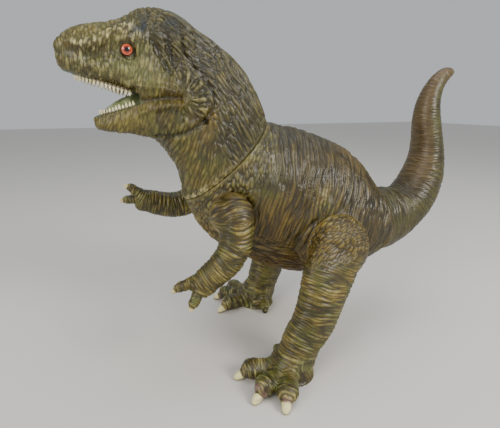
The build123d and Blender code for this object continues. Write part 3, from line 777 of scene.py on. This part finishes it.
def shape_leg(side):
    sign = 1 if side == "left" else -1
    back = 0.0 if side == "left" else STRIDE
    ball = np.array([26.0 - back, 64.0, 9.0])
    ankle_at = (22.0 - back, 64.5, 27.0)
    wax = []
    toe_ends = []
    for heading, length in TOES:
        way = np.array([math.cos(math.radians(heading)), math.sin(math.radians(heading)), 0.0])
        tip = ball + way * length
        claw_way = way * 13.0 - np.array([0, 0, 7.2])
        claw_way = claw_way / np.linalg.norm(claw_way)
        instep = ball + way * 15 + np.array([0, 0, 3.0])
        wax.append((add_wax, flip(ankle_at, sign), flip(instep, sign), 12.5, 8.2))
        wax.append((add_drop, flip(tip + claw_way * 9.3, sign), flip(claw_way, sign), 7.4, 5.2))
        toe_ends.append((tip, claw_way))
    spur_root = ball + np.array([-3.0, -13.0, 0.0])
    wax.append((add_wax, flip((18.0 - back, 60.0, 26.0), sign), flip(spur_root, sign), 10.0, 7.0))
    wax.append((add_wax, flip(ankle_at, sign), flip((20.0 - back, 63.0, 13.0), sign), 14.0, 13.0))
    shin_foot, heel = (13.0 - back * 0.8, 64.5, 36.0), (18.0 - back, 64.0, 14.5)
    wax.append((add_wax, flip(shin_foot, sign), flip(heel, sign), 14.5, 14.0))
    inner = [f"{side}_leg_filling", f"{side}_hip_plug"]
    piece = moulding(f"vinyl_{side}_leg", f"{side}_leg", f"{side}_leg_skin", inner, spacing=0.62, wax=wax)
    mesh, pairs, points = surface_of(piece)
    mirror = np.array([1, sign, 1])
    flat = points * mirror
    out = flat[:, 1]
    free = soft(out, 49.8, 53)
    toes_free = np.maximum(free, soft(40 - flat[:, 2], 0, 6))
    sole = soft(flat[:, 2], 0.6, 3)
    ledge = soft(flat[:, 2], 96, 108) * soft(142 - flat[:, 2], 0, 6)
    ankle = soft(flat[:, 2], 8, 16) * soft(48 - flat[:, 2], 0, 10)
    points = relaxed(points, pairs, 160, 0.6, np.clip(ledge * free, 0, 1))
    points = relaxed(points, pairs, 45, 0.6, np.clip(ankle * toes_free * 0.9, 0, 1))
    points = relaxed(points, pairs, 8, 0.5, toes_free * sole)
    flat = points * mirror
    claws = np.zeros(len(points))
    toes = []
    for tip, claw_way in toe_ends:
        gap = flat - tip
        gone = gap @ claw_way
        off = gap - np.outer(gone, claw_way)
        wide = np.linalg.norm(off, axis=1)
        near = soft(13 - wide, 0, 2) * soft(gone, -1, 1)
        flat = flat - off * (0.24 * near * soft(gone, 0, 8))[:, None]
        claws = np.maximum(claws, near * soft(gone + 0.5 * drift(flat, 3, 333), 8.2, 8.8))
        toes.append([tuple(ball), tuple(tip + claw_way * 14)])
    spur_tip = ball + np.array([1.0, -29.0, -3.0])
    points = flat * mirror
    normals = place_points(mesh, points)
    facing = normals * mirror
    shin = [
        (-21, 62, 125), (-12, 63.5, 100), (-5.5, 64.5, 85), (0 - back * 0.45, 65, 68),
        (5.5 - back * 0.67, 65, 50), (13 - back * 0.83, 64.5, 36), (20 - back, 64.5, 22),
        (26 - back, 64, 6),
    ]
    foot = soft(24 - flat[:, 2], 0, 10) * soft(np.linalg.norm(flat[:, :2] - ball[:2], axis=1), 8, 18)
    sculpt = -4.4 * mound(flat, (-16, 76, 112), 22) + 1.0 * mound(flat, (6 - back * 0.5, 78, 62), 12)
    sculpt -= 0.8 * mound(flat, (14 - back * 0.8, 80, 40), 10)
    toe_gap = np.full(len(points), 1e9)
    toe_gone = np.zeros(len(points))
    for line in toes + [[tuple(ball + np.array([-3, -10, 0])), tuple(spur_tip)]]:
        gap, gone, _, _ = run(flat, line)
        toe_gone = np.where(gap < toe_gap, gone, toe_gone)
        toe_gap = np.minimum(toe_gap, gap)
    cuticle = bell(toe_gone, 44.0, 1.6) * foot
    knuckle = bell(toe_gone, 36, 5.5) * foot
    waist = bell(toe_gone, 23, 7) * foot
    move = (sculpt * (1 - foot) + 0.7 * cuticle + 0.5 * knuckle - 2.0 * waist) * sole * (1 - claws)
    flat = flat + facing * (move * toes_free)[:, None]
    points = flat * mirror
    normals = place_points(mesh, points)
    ring = rings(flat, shin, 2.25, 34, 301 if sign > 0 else 351)
    net = streaks(flat, (0.85, 0, -0.5), 2.7, 8.0, 307 if sign > 0 else 357)
    along_toe = (toe_gone + 0.9 * drift(flat, 6, 311)) / 2.1
    toe_ring = cracks(columns(along_toe, flat[:, 1] / 16, flat[:, 2] / 16), 313, WIDE_FOLD)
    thigh = soft(flat[:, 2], 92, 112)
    crack, crown = blend_folds([(ring, (1 - thigh) * (1 - foot)), (net, thigh), (toe_ring, foot)])
    relief = (0.5 * crown - 0.95 * crack) * (0.85 - 0.2 * foot) + 0.45 * drift(flat, 7, 317)
    points = points + normals * (relief * toes_free * sole * (1 - claws))[:, None]
    points[:, 2] = np.maximum(points[:, 2], 0)
    place_points(mesh, points)
    paint = no_paint(points)
    patchy = soft(drift(flat, 11, 323), -0.2, 0.6)
    # The fold zone: a dark wash with painted shade in the cracks.
    paint["fold"] = crack * toes_free * (1 - claws)
    # Pale crests and flecks: dry-brushing with painted highlights.
    paint["crest"] = (1 - crack) ** 2 * (0.22 + 0.25 * patchy)
    paint["fleck"] = (1 - crack) ** 2 * (0.16 * foot + 0.10 * patchy + 0.15 * ankle)
    paint["green"] = np.clip(0.7 * (1 - patchy) * (1 - thigh) + 0.35 * foot, 0, 1)
    paint["ochre"] = 0.75 * patchy * (1 - foot)
    paint["russet"] = 0.4 * thigh
    paint["sage"] = 0.3 * ankle * patchy
    paint["claw"] = claws * sole
    paint["smudge"] = np.clip(0.9 * cuticle + 0.5 * claws * soft(drift(flat, 5, 331), 0.1, 0.6), 0, 1)
    nick = soft(1.6 - np.abs(flat[:, 0] - 20), 0, 1) * soft(3.5 - np.abs(flat[:, 2] - 59), 0, 2)
    paint["night"] = 0.8 * nick * soft(out, 70, 74) * (sign > 0)
    mark(mesh, **paint)
    return piece


def shape_arm(side):
    sign = 1 if side == "left" else -1
    turn = 0.0 if side == "left" else math.radians(ARM_LIFT)
    pivot = SHOULDER
    c, s = math.cos(turn), math.sin(turn)
    # The arm's own axes: hanging straight down, outward along +Y.
    unroll = np.array([[c, 0, s], [0, sign, 0], [-s, 0, c]])

    def placed(local):
        return (np.asarray(local) @ unroll) + pivot * [1, sign, 1]

    nails = []
    wax = []
    fingers = (((26.0, 10.5, -48.0), (45.0, 8.5, -53.0)), ((28.0, 15.5, -50.0), (36.5, 17.5, -63.0)))
    for root_at, tip in fingers:
        way = np.array(tip) - np.array(root_at)
        way = way / np.linalg.norm(way) + np.array([0, 0, -0.3])
        way = way / np.linalg.norm(way)
        nails.append((np.array(root_at), np.array(tip), way))
        wax.append((add_drop, placed(np.array(tip) + way * 4.6), way @ unroll, 3.6, 2.9))
    inner = [f"{side}_arm_filling", f"{side}_shoulder_plug"]
    piece = moulding(f"vinyl_{side}_arm", f"{side}_arm", f"{side}_arm_skin", inner, spacing=0.5, wax=wax)
    mesh, pairs, points = surface_of(piece)
    flat = (points - pivot * [1, sign, 1]) @ unroll.T
    free = soft(flat[:, 1], 0.8, 3.5)
    flat = relaxed(flat, pairs, 260, 0.6, soft(flat[:, 2], -26, -14) * free)
    flat = relaxed(flat, pairs, 10, 0.5, free)
    claws = np.zeros(len(points))
    bones = [(0, 14, 10), (0, 14.5, -8), (1, 14.5, -20), (7.5, 14.5, -33.5), (18, 14, -43.5), (30, 13, -53)]
    tips = []
    for root_at, tip, way in nails:
        gap = flat - tip
        gone = gap @ way
        off = gap - np.outer(gone, way)
        wide = np.linalg.norm(off, axis=1)
        near = soft(8 - wide, 0, 1.5) * soft(gone, -14, -6)
        flat = flat - off * (0.16 * near)[:, None]
        claws = np.maximum(claws, soft(8 - wide, 0, 1.5) * soft(gone, 4.6, 5.1))
        tips.append((tuple(root_at), tuple(tip + way * 6)))

    place_points(mesh, placed(flat))
    hand_gap = np.full(len(points), 1e9)
    hand_gone = np.zeros(len(points))
    for line in tips:
        gap, gone, _, _ = run(flat, line)
        hand_gone = np.where(gap < hand_gap, gone, hand_gone)
        hand_gap = np.minimum(hand_gap, gap)
    hand = soft(hand_gone, 2, 7) * soft(9 - hand_gap, 0, 2)
    normals = normals_of(mesh)
    seed = 401 if sign > 0 else 451
    ring = rings(flat, bones, 2.1, 26, seed)
    along_finger = (hand_gone + 0.7 * drift(flat, 5, 411)) / 1.9
    finger = cracks(columns(along_finger, flat[:, 1] / 14, flat[:, 2] / 14), 413, WIDE_FOLD)
    arch = np.hypot(flat[:, 0], flat[:, 2] + 8) + 0.8 * drift(flat, 9, 417)
    cap_ring = cracks(columns(arch / 1.9, flat[:, 0] / 24, flat[:, 2] / 24), 419, WIDE_FOLD)
    cap = soft(flat[:, 2], -6, 3)
    crack, crown = blend_folds([(ring, (1 - hand) * (1 - cap)), (finger, hand), (cap_ring, cap * 0.8)])
    relief = (0.45 * crown - 0.85 * crack) * (0.8 - 0.2 * cap) + 0.3 * drift(flat, 6, 421)
    points = placed(flat) + normals * (relief * free * (1 - claws))[:, None]
    place_points(mesh, points)
    paint = no_paint(points)
    patchy = soft(drift(flat, 9, 431), -0.2, 0.6)
    # The fold zone: a dark wash with painted shade in the cracks.
    paint["fold"] = crack * free * (1 - claws)
    # Pale crests and flecks: dry-brushing with painted highlights.
    paint["crest"] = (1 - crack) ** 2 * (0.22 + 0.25 * patchy)
    paint["fleck"] = (1 - crack) ** 2 * (0.10 * patchy + 0.18 * hand)
    paint["plum"] = 0.9 * cap * (1 if sign > 0 else 0.5)
    paint["green"] = 0.55 * (1 - cap) * (1 - patchy) + 0.35 * hand
    paint["ochre"] = 0.5 * patchy * (1 - cap)
    paint["claw"] = claws * 0.85
    paint["smudge"] = 0.4 * claws
    paint["sage"] = 0.9 * mound(flat, (-5, 26, -20), 4.5) * (sign > 0)
    mark(mesh, **paint)
    return piece


# ---- eyes and teeth ------------------------------------------------------------------------------
# The eye is moved and shrunk from the CAD's, to match the photograph.
EYE_FORWARD, EYE_UP, EYE_SHARE = 1.5, 2.8, 0.87
SOCKET_DEPTH = 2.2
BALL_INSET = 0.9


def glass_eye(side):
    """A turned acrylic eye: black pupil, orange iris with a paler rim, polished dome."""
    low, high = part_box(f"{side}_eye")
    sign = 1 if side == "left" else -1
    x, z = (low[0] + high[0]) / 2 + EYE_FORWARD * MM, (low[2] + high[2]) / 2 + EYE_UP * MM
    radius = EYE_SHARE * (high[0] - low[0]) / 2
    rim = (high[1] if sign > 0 else low[1]) - sign * SOCKET_DEPTH * MM
    ball = bmesh.new()
    bmesh.ops.create_uvsphere(ball, u_segments=64, v_segments=40, radius=radius)
    bmesh.ops.rotate(ball, verts=ball.verts, cent=(0, 0, 0), matrix=Matrix.Rotation(math.pi / 2, 3, "X"))
    bmesh.ops.scale(ball, verts=ball.verts, vec=(1, 0.72, 1))
    bmesh.ops.translate(ball, verts=ball.verts, vec=(x, rim - sign * BALL_INSET * MM, z))
    mesh = poured(ball, f"{side}_eye_ball")
    mesh.shade_smooth()
    piece = put(f"{side}_eye_ball", mesh)
    points = points_of(mesh)
    mark(mesh, radial=np.hypot(points[:, 0] - x / MM, points[:, 2] - z / MM) / (radius / MM))
    mesh.materials.append(eye_paint)
    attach(piece, "head")
    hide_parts(f"{side}_eye")


def eye_acrylic():
    """Acrylic, painted in rings and lacquered: deep colour under a hard gloss."""
    material, tree, shader = new_material("lacquered acrylic eye", Roughness=0.08, Coat_Weight=0.6)
    radial = node(tree, "Attribute", attribute_name="radial").outputs["Fac"]
    coords = node(tree, "TexCoord").outputs["Object"]
    fleck = node(tree, "TexNoise", in_Scale=900.0, links=[("Vector", coords)]).outputs[0]
    shaken = node(
        tree, "Math", operation="MULTIPLY_ADD", in_1=0.10, links=[(0, fleck), (2, radial)]
    ).outputs[0]
    rings_of = node(tree, "ValToRGB", links=[("Fac", shaken)])
    ramp = rings_of.color_ramp
    stops = [
        (0.0, "080706"), (0.38, "0a0807"), (0.44, "6d170a"), (0.66, "b63a1c"), (0.84, "cf6a44"),
        (0.94, "4a1d12"),
    ]
    while len(ramp.elements) < len(stops):
        ramp.elements.new(1.0)
    for element, (at, colour) in zip(ramp.elements, stops):
        element.position = at
        element.color = ink(colour)
    tree.links.new(rings_of.outputs[0], shader.inputs["Base Color"])
    return material


def tooth_enamel():
    """Hard vinyl teeth, cream at the tip and stained brown down at the gum."""
    material, tree, shader = new_material("stained tooth vinyl", Roughness=0.32, Coat_Weight=0.3)
    coords = node(tree, "TexCoord").outputs["Object"]
    stain = speckled(tree, coords, 1.2, 0.35, 0.65, 2.0)
    root = node(tree, "Attribute", attribute_name="gum").outputs["Fac"]
    colour = two_tone(tree, "ece6c2", "cfc28c", stain)
    colour = layer_over(tree, colour, "4c3f26", root)
    tree.links.new(colour, shader.inputs["Base Color"])
    return material


def tooth_row(node_name, slope, facing, arch, count, length):
    """A row of curved pegs, set along an arch: (x, half width) from back to front."""
    tilt = math.radians(slope)
    origin = np.array([HINGE, 0.0, MOUTH_MIDDLE + facing * HALF_GAPE])
    forward = np.array([math.cos(tilt), 0, math.sin(tilt)])
    into = np.array([facing * math.sin(tilt), 0, -facing * math.cos(tilt)])
    half = [((x - HINGE) / math.cos(tilt), y) for x, y in arch]
    path = np.array(half + [(x, -y) for x, y in reversed(half[:-1])])
    # An even walk along a smoothed arch.
    for _ in range(4):
        mid = (path[:-1] + path[1:]) / 2
        path = np.concatenate([path[:1], mid, path[-1:]])
    steps = np.concatenate([[0], np.cumsum(np.linalg.norm(np.diff(path, axis=0), axis=1))])
    row = bmesh.new()
    for n in range(count):
        at = (n + 0.5) / count * steps[-1]
        x, y = np.interp(at, steps, path[:, 0]), np.interp(at, steps, path[:, 1])
        further = np.array([np.interp(at + 0.5, steps, path[:, 0]), np.interp(at + 0.5, steps, path[:, 1])])
        ahead = further - [x, y]
        ahead = ahead / np.linalg.norm(ahead)
        chance = float(shuffled(np.array([n]), np.array([7]), np.array([facing + 1]), 5)[0])
        size = length * (0.85 + 0.3 * chance)
        tangent = forward * ahead[0] + np.array([0.0, ahead[1], 0.0])
        outward = np.cross(tangent, into)
        centre = origin + forward * x + np.array([0.0, y, 0.0])
        peg = bmesh.new()
        bmesh.ops.create_cone(peg, cap_ends=True, segments=12, radius1=1.2, radius2=0.3, depth=1)
        sides = [e for e in peg.edges if abs(e.verts[0].co.z - e.verts[1].co.z) > 0.5]
        bmesh.ops.subdivide_edges(peg, edges=sides, cuts=5)
        for vert in peg.verts:
            up = vert.co.z + 0.5
            swell = 1 + 0.3 * math.sin(math.pi * up)
            local = vert.co.x * tangent * swell + vert.co.y * outward * 0.85 * swell
            vert.co = Vector(centre + local + into * (up * (size + 1.0) - 1.0) - 0.6 * up * up * forward)
        copy = poured(peg, "peg")
        row.from_mesh(copy)
        bpy.data.meshes.remove(copy)
    bmesh.ops.scale(row, verts=row.verts, vec=(MM, MM, MM))
    bmesh.ops.recalc_face_normals(row, faces=row.faces)
    mesh = poured(row, node_name + "_pegs")
    mesh.shade_smooth()
    piece = put(node_name + "_pegs", mesh)
    points = points_of(mesh)
    height = (points - origin) @ into
    mark(mesh, gum=soft(1.3 - height, 0, 1.2))
    mesh.materials.append(enamel)
    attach(piece, "head")
    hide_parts(node_name)


def mouth_floor():
    """The raised floor of the mouth between the lower teeth, a smooth swelling of the lining."""
    swelling = bmesh.new()
    bmesh.ops.create_uvsphere(swelling, u_segments=96, v_segments=48, radius=1)
    bmesh.ops.scale(swelling, verts=swelling.verts, vec=(28 * MM, 15.5 * MM, 9.5 * MM))
    dip = Matrix.Rotation(math.radians(JAW_SLOPE), 3, "Y")
    bmesh.ops.rotate(swelling, verts=swelling.verts, cent=(0, 0, 0), matrix=dip)
    bmesh.ops.translate(swelling, verts=swelling.verts, vec=(133 * MM, 0, 227.2 * MM))
    mesh = poured(swelling, "mouth_floor")
    mesh.shade_smooth()
    points = points_of(mesh)
    dent = 1.2 * bell(points[:, 1], 0, 2.2) + 0.5 * drift(points, 5, 91)
    points[:, 2] -= dent
    place_points(mesh, points)
    piece = put("mouth_floor", mesh)
    name = "smooth sprayed vinyl, mouth lining"
    material, tree, shader = new_material(name, Roughness=0.32, Coat_Weight=0.3)
    coords = node(tree, "TexCoord").outputs["Object"]
    patch = speckled(tree, coords, 4, 0.35, 0.65, 3.0)
    colour = two_tone(tree, "5c663f", "98a07a", patch)
    tree.links.new(colour, shader.inputs["Base Color"])
    mesh.materials.append(material)
    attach(piece, "head")


mouth_floor()
eye_paint = eye_acrylic()
enamel = tooth_enamel()
head = shape_head()
torso = shape_torso()
tail = shape_tail()
legs = [shape_leg(side) for side in ("left", "right")]
arms = [shape_arm(side) for side in ("left", "right")]
for side in ("left", "right"):
    glass_eye(side)
upper_arch = [(139, 20.5), (152, 18.5), (165, 15.5), (176, 10.0), (181, 0.0)]
lower_arch = [(137, 18.5), (147, 17.0), (156, 13.5), (162, 7.5), (164, 0.0)]
tooth_row("upper_teeth", PALATE_SLOPE, 1, upper_arch, count=34, length=3.6)
tooth_row("lower_teeth", -JAW_SLOPE, -1, lower_arch, count=26, length=3.4)

upright = (620.0, 240.0, 150.0)
level = (130.0, 130.0, 620.0)
# Each vinyl's third colour goes in the folds, a dark wash with painted shade; the fourth goes on their
# crests, pale dry-brushing with painted highlights.
head_vinyl = painted_vinyl("sprayed vinyl, olive head", "3f3710", "63571d", "161303", "9c9046", upright)
trunk_name = "sprayed vinyl, brown-olive trunk"
torso_vinyl = painted_vinyl(trunk_name, "3f3510", "5d4c18", "151104", "8a7c3a", upright)
tail_vinyl = painted_vinyl("sprayed vinyl, olive tail", "3b3312", "544a1e", "1a1506", "6d6030", level)
limb_vinyl = painted_vinyl("sprayed vinyl, yellow-olive limbs", "4e420f", "6c5f1f", "1b1504", "9a8c44", level)
mouldings = [(head, head_vinyl), (torso, torso_vinyl), (tail, tail_vinyl)]
mouldings += [(limb, limb_vinyl) for limb in legs + arms]
for piece, material in mouldings:
    slim(piece)
    piece.data.materials.clear()
    piece.data.materials.append(material)


# ---- floor, light and camera ---------------------------------------------------------------------
def studio():
    """A pale floor, soft daylight and the photograph's camera."""
    floor = bmesh.new()
    bmesh.ops.create_grid(floor, x_segments=1, y_segments=1, size=4.0)
    plate = put("floor", poured(floor, "floor"))
    pale, _, _ = new_material("pale matt floor", Base_Color=ink("d6d3ce"), Roughness=0.7)
    plate.data.materials.append(pale)
    world = bpy.data.worlds.new("soft room")
    world.use_nodes = True
    world.node_tree.nodes["Background"].inputs[0].default_value = ink("dfe3e6")
    world.node_tree.nodes["Background"].inputs[1].default_value = 0.68
    bpy.context.scene.world = world
    middle = Vector((0.0, 0.0, 0.15))
    for name, at, size, power, tint in (
        ("window", (-0.55, 0.95, 0.75), 0.5, 13.0, "fffaf2"),
        ("front", (0.95, 0.55, 0.6), 0.6, 8.0, "fff6ea"),
        ("sky", (-0.2, 0.0, 1.4), 1.0, 6.0, "eef3ff"),
    ):
        lamp = bpy.data.lights.new(name, "AREA")
        lamp.size = size
        lamp.energy = power
        lamp.color = ink(tint)[:3]
        holder = put(name, lamp)
        holder.location = at
        holder.rotation_euler = (Vector(at) - middle).to_track_quat("Z", "Y").to_euler()
    lens = bpy.data.cameras.new("camera")
    lens.sensor_width = 36.0
    lens.lens = 27.36
    lens.clip_start = 0.01
    eye = put("camera", lens)
    forward = Vector((-0.344, -0.897, -0.276)).normalized()
    eye.location = (0.1624, 0.3170, 0.2275)
    eye.rotation_euler = (-forward).to_track_quat("Z", "Y").to_euler()
    bpy.context.scene.camera = eye


studio()
